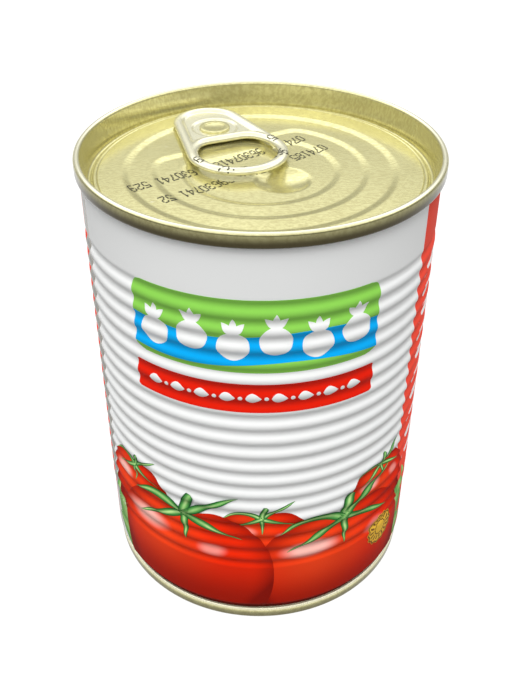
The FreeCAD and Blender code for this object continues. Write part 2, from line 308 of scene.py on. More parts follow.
def wall_tree():
    """Bends a flat sheet, X along the wall and Y up it, round the beaded wall."""
    kinds = [(name, "Int" if name == "groove_count" else "Float") for name in WALL_RULE]
    nodes, given = geometry_group("Wrap on beaded wall", [*kinds, ("lift", "Float")])
    along, height, sink = nodes.parts(nodes.add("GeometryNodeInputPosition"))
    top, bottom = given["top_groove"], given["bottom_groove"]
    pitch = (top - bottom) / (given["groove_count"] - 1.0)
    beaded = nodes.smaller(nodes.larger(height, bottom), top)
    index = nodes.math("ROUND", (top - beaded) / pitch)
    off = abs(height - (top - index * pitch))
    outer = abs(height - beaded) > 0.0
    depth = given["groove_depth"] + given["bead_height"] * (1.0 - outer)
    # Half a groove is two equal arcs: its width follows from their radius and its depth.
    bend = given["groove_round"]
    lean = bend - depth * 0.5
    width = nodes.math("SQRT", bend * bend - lean * lean) * 2.0
    part = nodes.larger(nodes.smaller(off, width - off), 0.0)
    rise = bend - nodes.math("SQRT", bend * bend - part * part)
    beyond = off > width * 0.5
    rise = rise + beyond * (depth - rise * 2.0)
    neck_top = given["neck_top"]
    neck = nodes.between(height, neck_top - given["neck_height"], neck_top, 1.0, 0.0)
    radius = given["radius"] + (rise - given["groove_depth"]) - neck * given["neck_step"]
    radius = radius + given["lift"] + sink
    angle = along / given["radius"]
    place = nodes.add("ShaderNodeCombineXYZ", {
        "X": nodes.math("SINE", angle) * radius,
        "Y": nodes.math("COSINE", angle) * (radius * -1.0),
        "Z": height})
    moved = nodes.add("GeometryNodeSetPosition", {"Geometry": given["Geometry"],
                                                  "Position": place})
    merged = nodes.add("GeometryNodeMergeByDistance", {"Geometry": moved, "Distance": NEAR})
    return close_group(nodes, merged, given)


def dots_tree():
    """Puts a small round dot on each point, square to the surface there."""
    nodes, given = geometry_group("Dots on points", [
        ("Dot Radius", "Float"), ("Dot Height", "Float"), ("Sides", "Int")])
    dot = nodes.add("GeometryNodeMeshCylinder", {
        "Vertices": given["Sides"], "Radius": given["Dot Radius"],
        "Depth": given["Dot Height"]}, "Mesh")
    facing = nodes.add("GeometryNodeInputNamedAttribute", {"Name": "facing"},
                       data_type="FLOAT_VECTOR")
    aligned = nodes.add("FunctionNodeAlignRotationToVector", {"Vector": facing}, axis="Z")
    placed = nodes.add("GeometryNodeInstanceOnPoints", {
        "Points": given["Geometry"], "Instance": dot, "Rotation": aligned})
    return close_group(nodes, placed, given)


def through_tree(piece, tree, values):
    """Runs a piece through a Geometry Nodes tree and keeps the result as a plain mesh."""
    sockets = {item.name: item.identifier for item in tree.interface.items_tree
               if item.in_out == "INPUT"}
    modifier = piece.modifiers.new("Rule", "NODES")
    modifier.node_group = tree
    for name, value in values.items():
        modifier[sockets[name]] = value
    return made_plain(piece)


def made_plain(piece):
    """The piece with its modifiers applied and removed."""
    piece.update_tag()
    bpy.context.view_layer.update()
    graph = bpy.context.evaluated_depsgraph_get()
    mesh = bpy.data.meshes.new_from_object(piece.evaluated_get(graph))
    old = piece.data
    piece.modifiers.clear()
    piece.data = mesh
    mesh.name = piece.name
    bpy.data.meshes.remove(old)
    return piece


# ---------------------------------------------------------------- meshes

def new_piece(name, mesh):
    piece = bpy.data.objects.new(name, mesh)
    bpy.context.scene.collection.objects.link(piece)
    return piece


def finish_piece(piece, sharp, nodes=(), material=None):
    """Smooth shading, body and the CAD nodes that the piece stands for."""
    if material is not None:
        piece.data.materials.clear()
        piece.data.materials.append(material)
    piece.data.polygons.foreach_set("use_smooth", [True] * len(piece.data.polygons))
    piece.data.set_sharp_from_angle(angle=math.radians(sharp))
    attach(piece, BODY)
    if nodes:
        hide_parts(*nodes)


def new_mesh(name, points=(), faces=()):
    mesh = bpy.data.meshes.new(name)
    mesh.from_pydata(points, [], faces)
    return mesh


@contextmanager
def edited(mesh):
    """The mesh opened for editing, and written back at the end."""
    work = bmesh.new()
    work.from_mesh(mesh)
    yield work
    work.to_mesh(mesh)
    work.free()


def join_doubles(work):
    """Joins doubled points and drops empty faces."""
    bmesh.ops.remove_doubles(work, verts=work.verts, dist=NEAR)
    bmesh.ops.dissolve_degenerate(work, edges=work.edges, dist=NEAR / 10)


def of_kind(items, kind):
    return [item for item in items if isinstance(item, kind)]


def grid_faces(rows, columns, closed):
    """Faces of a grid of points, row by row, joined round when it is closed."""
    faces = []
    for row in range(rows - 1):
        for column in range(columns if closed else columns - 1):
            beside = (column + 1) % columns
            faces.append((row * columns + column, row * columns + beside,
                          (row + 1) * columns + beside, (row + 1) * columns + column))
    return faces


def clean(mesh):
    """Joins doubled points and turns all faces outwards."""
    with edited(mesh) as work:
        join_doubles(work)
        bmesh.ops.recalc_face_normals(work, faces=work.faces)
    return mesh


def flat_sheet(rows, columns, place):
    """Flat grid. place(up, across) gives the point for shares of the grid from 0 to 1.

    The sheet keeps two maps: Wall, in metres along and up the wall, and Shape, the
    shares of the grid or the two further values that place gives.
    """
    points, shape = [], []
    for row in range(rows):
        for column in range(columns):
            up, across = row / (rows - 1), column / (columns - 1)
            x, y, *own = place(up, across)
            points.append((x, y, 0.0))
            shape.append(own or (across, up))
    mesh = new_mesh("sheet", points, grid_faces(rows, columns, False))
    corners = np.empty(len(mesh.loops), dtype=np.int32)
    mesh.loops.foreach_get("vertex_index", corners)
    for label, source in (("Wall", np.array(points)[:, :2]), ("Shape", np.array(shape))):
        layer = mesh.uv_layers.new(name=label)
        layer.data.foreach_set("uv", source[corners].astype(np.float32).ravel())
    return mesh


def wrapped(name, mesh, lift, material):
    """Sheet bent round the wall, lifted off it by so much."""
    wall = sizes("wall")
    return through_tree(new_piece(name, mesh), TREES["wall"], {
        **{size: getattr(wall, size) for size in WALL_RULE}, "lift": lift,
        "Material": material})


def thicken(mesh, thickness):
    """Closes a flat sheet into a skin that reaches inwards, so that it has no open edge."""
    with edited(mesh) as skin:
        join_doubles(skin)
        for face in skin.faces:
            face.normal_update()
            if face.normal.z < 0:
                face.normal_flip()
        front = skin.faces[:]
        copy = bmesh.ops.duplicate(skin, geom=skin.verts[:] + skin.edges[:] + front)
        back = of_kind(copy["geom"], bmesh.types.BMFace)
        for vert in {v for face in back for v in face.verts}:
            vert.co.z -= thickness
        bmesh.ops.reverse_faces(skin, faces=back)
        twin = copy["vert_map"]
        front = set(front)
        for edge in [e for e in skin.edges if len(e.link_faces) == 1]:
            if edge.link_faces[0] in front:
                loop = edge.link_loops[0]
                a, b = loop.vert, loop.link_loop_next.vert
                skin.faces.new((b, a, twin[a], twin[b]))
        skin.normal_update()


def turned_mesh(name, profile, columns, lower=None):
    """Closed solid turned from a profile of (radius, height) that starts and ends on the axis."""
    points = []
    for radius, height in profile:
        for column in range(columns):
            angle = FULL_TURN * column / columns
            points.append((radius * math.cos(angle), radius * math.sin(angle), height))
    points = np.array(points)
    if lower is not None:
        points[:, 2] -= lower(*points.T)
    return clean(new_mesh(name, points.tolist(), grid_faces(len(profile), columns, True)))


def bow(centre, radius, first, last, count):
    """Points of an arc from one angle to another, both in radians."""
    return [(centre[0] + radius * math.cos(a), centre[1] + radius * math.sin(a))
            for a in np.linspace(first, last, count)]


def smooth(value):
    value = np.clip(value, 0.0, 1.0)
    return value * value * (3 - 2 * value)


def ramp(value, bend=0.22):
    """Straight ramp from 0 to 1 whose two ends are rounded over a share of its length."""
    value = np.clip(value, 0.0, 1.0)
    value = np.where(value > 0.5, 1 - value, value)
    return np.where(value < bend, value ** 2 / (2 * bend), value - bend / 2) / (1 - bend)


def pressed(value):
    """Pressed step in the panel: a straight slope between two tight bends."""
    return np.where(value > 0.5, 1 - ramp(value), ramp(value))


# ---------------------------------------------------------------- materials

def material(name):
    """New material with its helper and the inputs of its Principled shader."""
    made = bpy.data.materials.new(name)
    made.use_nodes = True
    made.node_tree.nodes.clear()
    nodes = Nodes(made.node_tree)
    shader = nodes.add("ShaderNodeBsdfPrincipled")
    nodes.add("ShaderNodeOutputMaterial", {"Surface": shader})
    return made, nodes, shader.socket.node.inputs


def shape_map(nodes, name):
    """The two coordinates of one of a sheet's maps."""
    return nodes.parts(nodes.add("ShaderNodeUVMap", uv_map=name))[:2]


def object_place(nodes):
    return nodes.add("ShaderNodeTexCoord", output="Object")


def darker(colour, share):
    return tuple(part * share for part in colour)


def bumped(nodes, inputs, height, distance):
    nodes.put(inputs["Normal"], nodes.add("ShaderNodeBump", {
        "Height": height, "Distance": distance, "Strength": 1.0}))


def gloss_print(nodes, inputs, place):
    """Varnish over the print, with the faint orange peel of stoved enamel."""
    inputs["Coat Weight"].default_value = 0.08
    inputs["Coat Roughness"].default_value = 0.15
    inputs["Specular IOR Level"].default_value = 0.0
    speckle = nodes.noise(place, 900.0, 3.0)
    nodes.put(inputs["Roughness"], nodes.between(speckle, 0.3, 0.7, 0.22, 0.30))
    bumped(nodes, inputs, speckle, 0.006 * MM)
    return speckle


def ink_material(name, colour, shade=0.06, matt=False):
    """Plain printed colour with the slight mottle of ink on steel."""
    made, nodes, inputs = material(name)
    place = object_place(nodes)
    speckle = gloss_print(nodes, inputs, place)
    if matt:
        inputs["Coat Weight"].default_value = 0.0
        inputs["Specular IOR Level"].default_value = 0.1
    patchy = nodes.between(nodes.noise(place, 60.0, 3.0), 0.3, 0.7)
    mottle = patchy * shade + nodes.between(speckle, 0.35, 0.65) * 0.03
    nodes.put(inputs["Base Color"], nodes.mix(mottle, colour, darker(colour, 0.7)))
    return made


def wall_material():
    """White enamel in front, a red field behind, and the bare weld margin between them."""
    wall, colours = sizes("wall"), sizes("colours")
    made, nodes, inputs = material("Lithographed wall")
    place = object_place(nodes)
    gloss_print(nodes, inputs, place)
    along, height = shape_map(nodes, "Wall")
    angle = along / wall.radius
    behind = nodes.larger(angle > wall.back_start, angle < wall.weld_end)
    bare = (angle < wall.weld_start) * (angle > wall.weld_end)
    patchy = nodes.between(nodes.noise(place, 45.0, 3.0), 0.3, 0.7)
    white = nodes.mix(patchy * 0.05, colours.white, darker(colours.white, 0.82))
    red = nodes.mix(patchy * 0.12, colours.back_red, darker(colours.back_red, 0.65))
    streaks = nodes.add("ShaderNodeCombineXYZ", {"X": along * 5200.0, "Y": height * 60.0})
    grain = nodes.noise(streaks, 1.0)
    middle = (wall.weld_start + wall.weld_end) / 2
    weld = nodes.between(abs(angle - middle), 0.008, 0.016, 1.0, 0.0)
    steel = nodes.mix(weld * 0.55 + grain * 0.35, colours.steel, WELD_DARK)
    printed_colour = nodes.mix(behind, white, red)
    nodes.put(inputs["Base Color"], nodes.mix(bare, printed_colour, steel))
    nodes.put(inputs["Metallic"], bare * 0.85)
    return made


def fruit_material(name, light_x, light_y):
    """Printed tomato: lit side, ribs that run from the stalk, deep rim and soft gleams.

    The map Shape runs from -1 to 1 across the fruit and up it.
    """
    colours = sizes("colours")
    made, nodes, inputs = material(name)
    place = object_place(nodes)
    gloss_print(nodes, inputs, place)
    across, up = shape_map(nodes, "Shape")
    below_stalk = 1.05 - up
    lean = nodes.math("ARCTAN2", across, below_stalk)
    rib = nodes.math("COSINE", lean * 9.0) * 0.5 + 0.5
    rib_reach = nodes.between(nodes.reach(across, below_stalk), 0.2, 1.5, 0.5, 0.0)
    rim = nodes.between(across ** 2.0 + up ** 2.0, 0.55, 1.15, 0.0, 0.7)
    under = nodes.between(up, 0.25, -0.45, 0.0, 0.80)
    dark = nodes.math("ADD", rim, rib * rib_reach * 0.35 + under, clamp=True)
    lit = nodes.between(nodes.reach(across - light_x, up - light_y), 0.1, 0.95, 1.0, 0.0)
    flesh = nodes.mix(lit, colours.tomato, colours.tomato_light)
    flesh = nodes.mix(dark, flesh, colours.tomato_deep)
    wobble = (nodes.noise(place, 130.0) - 0.5) * 0.25
    # Each gleam: middle, half width, half height and strength
    for gleam_x, gleam_y, wide, tall, strength in (
            (light_x - 0.12, light_y + 0.12, 0.34, 0.15, 0.6),
            (light_x + 0.72, light_y + 0.02, 0.18, 0.11, 0.32),
            (light_x + 0.5, -0.72, 0.34, 0.06, 0.30)):
        aside = (across - gleam_x) / wide
        above = (up - gleam_y + wobble * 0.25) / tall
        gleam = nodes.between(nodes.reach(aside, above) + wobble, 0.35, 1.15, strength, 0.0)
        flesh = nodes.mix(gleam, flesh, GLEAM)
    height = shape_map(nodes, "Wall")[1]
    # Painted shade along the foot of the print, where the wall draws in above the lower seam
    foot = nodes.between(height, 3.5 * MM, 6.0 * MM, 0.75, 0.0)
    nodes.put(inputs["Base Color"], nodes.mix(foot, flesh, PAINTED_FOOT_SHADE))
    return made


def foliage_material(name, middle, edge, light, veins=0.0):
    """Printed green: light along the midrib, darker edges, and side veins if asked."""
    made, nodes, inputs = material(name)
    place = object_place(nodes)
    gloss_print(nodes, inputs, place)
    across, up = shape_map(nodes, "Shape")
    off = abs(across - 0.5)
    green = nodes.mix(nodes.between(off, 0.15, 0.5), middle, edge)
    rib = nodes.between(off, 0.02, 0.26, 0.9, 0.0)
    patchy = nodes.between(nodes.noise(place, 220.0, 3.0), 0.35, 0.65, 0.4, 1.0)
    green = nodes.mix(rib * patchy, green, light)
    if veins:
        wave = nodes.math("FRACT", off * -5.0 + up * veins)
        green = nodes.mix(nodes.between(abs(wave - 0.5), 0.03, 0.12, 0.4, 0.0), green, light)
    nodes.put(inputs["Base Color"], green)
    return made


def seal_material():
    """Gold seal: plain rings and short rays, in two tones of ink."""
    made, nodes, inputs = material("Gold seal print")
    gloss_print(nodes, inputs, object_place(nodes))
    across, out = shape_map(nodes, "Shape")
    outer = nodes.between(abs(out - 0.93), 0.03, 0.07, 1.0, 0.0)
    inner = nodes.between(abs(out - 0.42), 0.02, 0.05, 1.0, 0.0)
    ray = nodes.math("COSINE", across * (SEAL_RAYS * FULL_TURN)) > 0.2
    band = (out > 0.52) * (out < 0.80)
    mark = nodes.larger(nodes.larger(outer, inner), ray * band)
    nodes.put(inputs["Base Color"], nodes.mix(mark * 0.9, sizes("colours").seal, SEAL_MARK))
    return made


def lacquer_material(name, colour, deep, roughness, metallic, seam=None):
    """Lacquered tinplate: clouded tone, fine grain and faint rubbed spots.

    A seam is given as the heights of its lower edge and its crown, its outer radius, how
    deep its painted shade goes and how far down its painted highlight reaches. Its crown gets a
    painted highlight, and its outer face a painted shade that deepens towards the lower edge.
    """
    made, nodes, inputs = material(name)
    place = object_place(nodes)
    inputs["Metallic"].default_value = metallic
    inputs["Coat Weight"].default_value = 0.04
    inputs["Coat Roughness"].default_value = 0.2
    cloud = nodes.between(nodes.noise(place, 70.0, 3.0), 0.3, 0.7)
    drawn = nodes.add("ShaderNodeMapping", {"Vector": place, "Scale": (900.0, 2400.0, 900.0)})
    grain = nodes.noise(drawn, 1.0, 3.0, 0.7)
    tone = cloud * 0.10 + nodes.between(grain, 0.4, 0.6) * 0.34
    rubbed = nodes.between(nodes.noise(place, 420.0, 4.0, 0.65), 0.68, 0.76, 0.0, 0.30)
    shade = nodes.mix(rubbed, nodes.mix(tone, colour, deep), RUBBED)
    if seam:
        low, high, radius, depth, line = seam
        x, y, z = nodes.parts(place)
        down = abs(z - high) / abs(high - low)
        # Painted shade on the seam's outer face, deepest towards its lower edge
        painted_shade = nodes.between(nodes.reach(x, y), radius - 1.55 * MM, radius - 0.55 * MM)
        painted_shade = painted_shade * nodes.between(down, 0.12, 0.75, 0.66 * depth, 0.985 * depth)
        painted_shade = painted_shade * nodes.between(down, 0.3 * line, 1.6 * line)
        shade = nodes.mix(painted_shade, shade, SEAM_PAINTED_SHADE)
        # Painted highlight along the seam's crown, fading down its face
        shade = nodes.mix(nodes.between(down, 0.0, line, 0.8, 0.0), shade, SEAM_PAINTED_HIGHLIGHT)
    nodes.put(inputs["Base Color"], shade)
    nodes.put(inputs["Roughness"], nodes.between(grain, 0.3, 0.7, roughness - 0.04,
                                                 roughness + 0.06))
    bumped(nodes, inputs, grain, 0.003 * MM)
    return made


# ---------------------------------------------------------------- flat shapes of the print
# All are given in millimetres along the wall from the front's middle, and up from the floor.

PRINT_STEP = 0.3             # rows of a printed sheet, close enough to follow the beads
PRINT_SKIN = 0.05 * MM       # a sheet reaches this far inwards, to below the wall's face
LAYER = 0.03 * MM            # height of each layer of print over the one below it


def steps(distance, step=PRINT_STEP):
    return max(3, math.ceil(distance / step) + 1)


def block(left, right, low, high, corner=0.0, top=None, bottom=None):
    """Upright-sided block with rounded corners; top and bottom may be waved lines."""
    def place(up, across):
        x = left + (right - left) * across
        floor = low if bottom is None else bottom(x)
        roof = high if top is None else top(x)
        y = floor + (roof - floor) * up
        depth = min(y - low, high - y)
        if depth < corner:
            inset = corner - math.sqrt(corner ** 2 - (corner - depth) ** 2)
            x = left + inset + (right - left - 2 * inset) * across
        return x * MM, y * MM
    return flat_sheet(steps(high - low), steps(right - left, 1.2), place)


def fruit(x, y, half_wide, half_tall, dip, power, floor):
    """Fruit outline with a hollow at the stalk, cut off level at the floor of the print."""
    def place(up, across):
        share = math.sin(math.pi * (across - 0.5))
        bulge = (1 - abs(share) ** power) ** (1 / power)
        top = y + half_tall * bulge - dip * math.exp(-(share / 0.3) ** 2)
        low = max(y - half_tall * bulge, floor)
        height = low + (max(top, low) - low) * up
        return (x + half_wide * share) * MM, height * MM, share, (height - y) / half_tall
    return flat_sheet(steps(2 * half_tall), steps(2 * half_wide, 0.6), place)


def ribbon(points, width, taper=0.8, blunt=0.12):
    """Tapered strip along a curve through its three control points."""
    start, middle, end = (np.array(p, float) for p in points)
    reach = np.linalg.norm(middle - start) + np.linalg.norm(end - middle)

    def place(up, across):
        centre = (1 - up) ** 2 * start + 2 * up * (1 - up) * middle + up ** 2 * end
        slope = 2 * (1 - up) * (middle - start) + 2 * up * (end - middle)
        slope /= np.linalg.norm(slope)
        half = width / 2 * (blunt + up) ** 0.35 * (1 - up) ** taper
        return (centre + half * (2 * across - 1) * np.array((slope[1], -slope[0]))) * MM
    return flat_sheet(steps(reach), 7, place)


def leaf(start, end, width, bend=0.0):
    """Pointed leaf from its stalk to its tip."""
    start, end = np.array(start, float), np.array(end, float)
    along = end - start
    reach = np.linalg.norm(along)
    aside = np.array((along[1], -along[0])) / reach

    def place(up, across):
        half = width / 2 * math.sin(math.pi * up ** 0.8) ** 0.9
        curve = bend * math.sin(math.pi * up)
        return (start + along * up + aside * (curve + half * (2 * across - 1))) * MM
    return flat_sheet(steps(reach), 9, place)


def disc(x, y, radius, lobes=0, lobe_depth=0.0):
    """Round spot, with a scalloped edge if it has lobes. Shape runs round and outwards."""
    def place(up, across):
        angle = FULL_TURN * across
        reach = radius * (1 + lobe_depth * math.cos(lobes * angle)) * up
        return (x + reach * math.cos(angle)) * MM, (y + reach * math.sin(angle)) * MM
    return flat_sheet(steps(radius), max(33, lobes * 10 + 1), place)


def joined(name, meshes):
    """One mesh of several, with their maps."""
    result = new_mesh(name)
    with edited(result) as whole:
        for mesh in meshes:
            whole.from_mesh(mesh)
            bpy.data.meshes.remove(mesh)
    return result


def printed(name, meshes, ink, layer):
    """Sheets of one colour as one piece on the wall, at their layer of the print."""
    mesh = joined(name, meshes)
    thicken(mesh, PRINT_SKIN)
    piece = wrapped(name, mesh, layer * LAYER, ink)
    finish_piece(piece, sharp=60, material=ink)


# ---------------------------------------------------------------- wall

class TIN_OT_wall(bpy.types.Operator):
    """Beaded body of the tin, with its white front, red back and weld margin"""
    bl_idname = "tin.wall"
    bl_label = "Wall"

    def execute(self, context):
        wall = sizes("wall")
        low, high = WALL_LOW.z, WALL_HIGH.z
        half_round = math.pi * wall.radius

        def place(up, across):
            return half_round * (2 * across - 1), low + (high - low) * up
        mesh = flat_sheet(steps((high - low) / MM), WALL_SIDES + 1, place)
        piece = wrapped("printed_wall", mesh, 0.0, wall_material())
        self.close_ends(piece.data, wall)
        finish_piece(piece, sharp=50, nodes=("can_body", "wall_rim"))
        return {"FINISHED"}

    def close_ends(self, mesh, wall):
        """Ledges, bores and the two faces that the ends sit on."""
        with edited(mesh) as solid:
            for level, seat in ((WALL_HIGH.z, TOP_LOW.z), (WALL_LOW.z, FOOT_HIGH.z)):
                rim = [e for e in solid.edges if len(e.link_faces) == 1
                       and all(abs(v.co.z - level) < 10 * NEAR for v in e.verts)]
                radius = rim[0].verts[0].co.to_2d().length
                inner = radius - wall.bore_inset
                for shrink, z in ((inner / radius, level), (1.0, seat)):
                    grown = bmesh.ops.extrude_edge_only(solid, edges=rim)["geom"]
                    rim = of_kind(grown, bmesh.types.BMEdge)
                    for vert in {v for e in rim for v in e.verts}:
                        vert.co = (vert.co.x * shrink, vert.co.y * shrink, z)
                bmesh.ops.contextual_create(solid, geom=rim)
            bmesh.ops.recalc_face_normals(solid, faces=solid.faces)
            # Extruding adds its faces in an order that changes from run to run.
            in_order = sorted(solid.faces, key=lambda face: face.calc_center_median()[:])
            for index, face in enumerate(in_order):
                face.index = index
            solid.faces.sort()


# ---------------------------------------------------------------- ends

def top_radii():
    """Radii inside the upper seam: chuck wall's foot, panel's edge and score line."""
    end = sizes("ends")
    foot = TOP_HIGH.x - end.seam_wall - end.chuck_slope
    panel = foot - end.countersink_width
    return foot, panel, panel - end.score_inset


def rivet_distance():
    tab = sizes("tab")
    return top_radii()[2] - tab.nose_to_score - tab.nose_radius - tab.nose_back


def rivet_centre():
    angle = sizes("ends").rivet_angle
    return rivet_distance() * Vector((math.cos(angle), math.sin(angle)))


def tab_levels():
    """Heights of the plate under the rivet: its foot and its top."""
    tab = sizes("tab")
    top = TAB_HIGH.z - tab.recess_depth
    return top - tab.web_thickness, top


# Each terrace: panel's edge in to the slope's middle, rivet to the chord, step down.
TERRACES = ((6.7, None, 0.30), (12.7, 6.6, 0.25), (18.7, 11.8, 0.25))


def chord_distance(u, v, radius, chord, corner):
    """Distance outside a circle that a chord cuts off at u = chord, rounded corners."""
    radius, chord = radius - corner, chord - corner
    v = np.abs(v)
    out = np.hypot(u, v)
    corner_v = math.sqrt(radius ** 2 - chord ** 2)
    on_circle = u * radius <= chord * out
    distance = np.where(on_circle, out - radius, np.hypot(u - chord, v - corner_v))
    distance = np.where((u > chord) & (v < corner_v), u - chord, distance)
    inside = (u <= chord) & (out <= radius)
    return np.where(inside, np.maximum(out - radius, u - chord), distance) - corner


def panel_dip(x, y):
    """How far the pressed panel lies below its outer part at a point."""
    end, tab = sizes("ends"), sizes("tab")
    _, panel, score = top_radii()
    rivet = rivet_distance()
    outward = rivet_centre().normalized()
    u = x * outward.x + y * outward.y
    v = -x * outward.y + y * outward.x
    out = np.hypot(x, y)
    dip = np.zeros_like(x)
    for inset, rivet_gap, drop in TERRACES:
        radius = panel - inset * MM
        if rivet_gap is None:
            edge = out - radius
        else:
            edge = chord_distance(u, v, radius, rivet - rivet_gap * MM, end.corner)
        dip += drop * MM * pressed(0.5 - edge / end.slope_width)
    along = rivet - tab.ring_ahead - tab.ring_radius - end.dimple_past_ring
    bowl = np.hypot(u - along, v + end.dimple_aside) / end.dimple_radius
    dip += end.dimple_depth * (1 - np.clip(bowl, 0, 1) ** 2) * smooth((1.08 - bowl) / 0.3)
    from_score = np.abs(out - score) / (end.score_width / 2)
    dip += end.score_depth * np.clip(1 - from_score, 0, 1)
    floor = TOP_HIGH.z - end.panel_drop - TERRACES[0][2] * MM
    rise = tab_levels()[0] - floor
    boss = np.hypot(u - rivet, v)
    return dip - rise * smooth((end.boss_radius + rise - boss) / rise)


def seam_profile(outer, seat, edge, crown, side):
    """Profile from the axis over the face in the body and round a seam to its inner side.

    The seam runs from the height of its edge to its crown; side is 1 for the upper seam
    and -1 for the lower one.
    """
    end = sizes("ends")
    inner = outer - end.seam_wall
    bore = inner - end.chuck_slope + end.chuck_wall
    middle, corner = crown - side * end.seam_round, end.foot_round
    quarter = side * FULL_TURN / 4
    return ([(0, seat), (bore, seat), (bore, edge)]
            + bow((outer - corner, edge + side * corner), corner, -quarter, 0, 6)
            + bow((outer - end.seam_round, middle), end.seam_round, 0, quarter, 9)
            + bow((inner + end.seam_round, middle), end.seam_round, quarter, 2 * quarter, 9))


class TIN_OT_top_end(bpy.types.Operator):
    """Easy-open end: seam, countersink, terraced panel with a finger dimple, and rivet"""
    bl_idname = "tin.top_end"
    bl_label = "Top end"

    def execute(self, context):
        end = sizes("ends")
        # Seam: lower edge, crown, outer radius, strength of its painted shade and reach of its
        # painted highlight
        seam = (WALL_HIGH.z, TOP_HIGH.z, TOP_HIGH.x, 1.0, 0.10)
        lacquer = lacquer_material("Gold lacquer", sizes("colours").gold, GOLD_DEEP,
                                   roughness=0.18, metallic=0.72, seam=seam)
        lid = new_piece("top_end_lid", self.lid_mesh(end))
        finish_piece(lid, sharp=35, nodes=("top_end",), material=lacquer)
        rivet = new_piece("rivet", self.rivet_mesh(end))
        finish_piece(rivet, sharp=50, material=lacquer)
        return {"FINISHED"}

    def lid_mesh(self, end):
        _, panel, score = top_radii()
        panel_z = TOP_HIGH.z - end.panel_drop
        groove = end.countersink_width / 2
        groove_z = panel_z - end.countersink_depth + groove
        face = panel - end.panel_round
        profile = seam_profile(TOP_HIGH.x, TOP_LOW.z, WALL_HIGH.z, TOP_HIGH.z, 1)
        profile += bow((panel + groove, groove_z), groove, 0, -FULL_TURN / 2, 15)
        profile += bow((face, panel_z - end.panel_round), end.panel_round, 0, FULL_TURN / 4, 6)
        # Rows are close together at the score line, and even over the rest of the panel.
        even = np.arange(face - 0.15 * MM, 0.1 * MM, -0.28 * MM)
        near_score = np.linspace(score - 0.3 * MM, score + 0.3 * MM, 9)
        rows = np.concatenate([even[np.abs(even - score) > 0.35 * MM], near_score])
        profile += [(r, panel_z) for r in sorted(rows, reverse=True)] + [(0, panel_z)]

        def lower(x, y, z):
            on_panel = (np.abs(z - panel_z) < 1e-9) & (np.hypot(x, y) <= face + 1e-9)
            return np.where(on_panel, panel_dip(x, y), 0.0)
        return turned_mesh("top_end_lid", profile, LID_SIDES, lower)

    def rivet_mesh(self, end):
        """Head with a rounded rim and a shallow dish."""
        low = tab_levels()[1]
        high = low + end.head_thickness
        radius, quarter = end.head_radius, FULL_TURN / 4
        rim, lip = 0.22 * MM, 0.12 * MM
        profile = [(0, low), (radius - 0.1 * MM, low)]
        profile += bow((radius - rim, high - rim), rim, -quarter / 3, quarter, 7)
        profile += bow((0.70 * radius, high - lip), lip, quarter, 2 * quarter, 5)
        profile += [(0.62 * radius, high - 0.16 * MM), (0, high - 0.14 * MM)]
        mesh = turned_mesh("rivet", profile, RIVET_SIDES)
        mesh.transform(Matrix.Translation(rivet_centre().to_3d()))
        return mesh


class TIN_OT_bottom_end(bpy.types.Operator):
    """Plain lower end with its seam and two beads"""
    bl_idname = "tin.bottom_end"
    bl_label = "Bottom end"

    BEAD_INSETS = (5.9, 13.9)           # chuck wall's foot in to the middle of each bead
    PLAIN_RADII = (15, 10, 5)           # rings of the plain middle

    def execute(self, context):
        end = sizes("ends")
        panel_z, half = end.bottom_panel, end.bottom_bead_width / 2
        foot = FOOT_HIGH.x - end.seam_wall - end.chuck_slope
        profile = seam_profile(FOOT_HIGH.x, FOOT_HIGH.z, WALL_LOW.z, 0.0, -1)
        profile += [(foot + 0.15 * MM, panel_z - 0.4 * MM), (foot - 0.1 * MM, panel_z)]
        for inset in self.BEAD_INSETS:
            middle = foot - inset * MM
            for share in np.linspace(1, -1, 13):
                dip = 0.5 * (1 + math.cos(math.pi * share)) * end.bottom_bead_depth
                profile.append((middle + share * half, panel_z - dip))
        profile += [(radius * MM, panel_z) for radius in self.PLAIN_RADII] + [(0, panel_z)]
        # Seam: lower edge, crown, outer radius, strength of its painted shade and reach of its
        # painted highlight
        seam = (0.0, WALL_LOW.z, FOOT_HIGH.x, 0.8, 0.30)
        lacquer = lacquer_material("Gold lacquer below", sizes("colours").gold, GOLD_DEEP,
                                   roughness=0.3, metallic=0.7, seam=seam)
        plate = turned_mesh("bottom_end_plate", profile, BOTTOM_SIDES)
        finish_piece(new_piece("bottom_end_plate", plate), sharp=35,
                     nodes=("bottom_end",), material=lacquer)
        return {"FINISHED"}


# ---------------------------------------------------------------- ring pull

def tab_outline(inset):
    """Nose round and ring round with their straight sides, anticlockwise from the ring."""
    tab = sizes("tab")
    nose, ring = tab.nose_radius - inset, tab.ring_radius - inset
    lean = math.acos((nose - ring) / (tab.ring_ahead + tab.nose_back))
    around = bow((tab.ring_ahead, 0), ring, -lean, lean, 60)
    back = bow((-tab.nose_back, 0), nose, lean, FULL_TURN - lean, 48)

    def side(start, end):
        shares = np.linspace(0, 1, 14)[1:-1]
        return [tuple(np.array(start) * (1 - t) + np.array(end) * t) for t in shares]
    return around + side(around[-1], back[0]) + back + side(back[-1], around[0])


def hole_outline(grow):
    """Finger hole: a circle cut off straight on the rivet's side, with rounded corners."""
    tab = sizes("tab")
    corner = tab.hole_corner + grow
    radius = tab.ring_radius - tab.ring_width + grow - corner
    chord = tab.ring_ahead - tab.hole_start + grow - corner
    aside = math.sqrt(radius ** 2 - chord ** 2)
    lean = math.atan2(aside, chord)
    start = math.pi - lean
    outline = bow((tab.ring_ahead, 0), radius + corner, -start, start, 64)
    for side, first in ((1, start), (-1, math.pi)):
        middle = (tab.ring_ahead - chord, side * aside)
        outline += bow(middle, corner, first, first + lean, 14)
    return outline


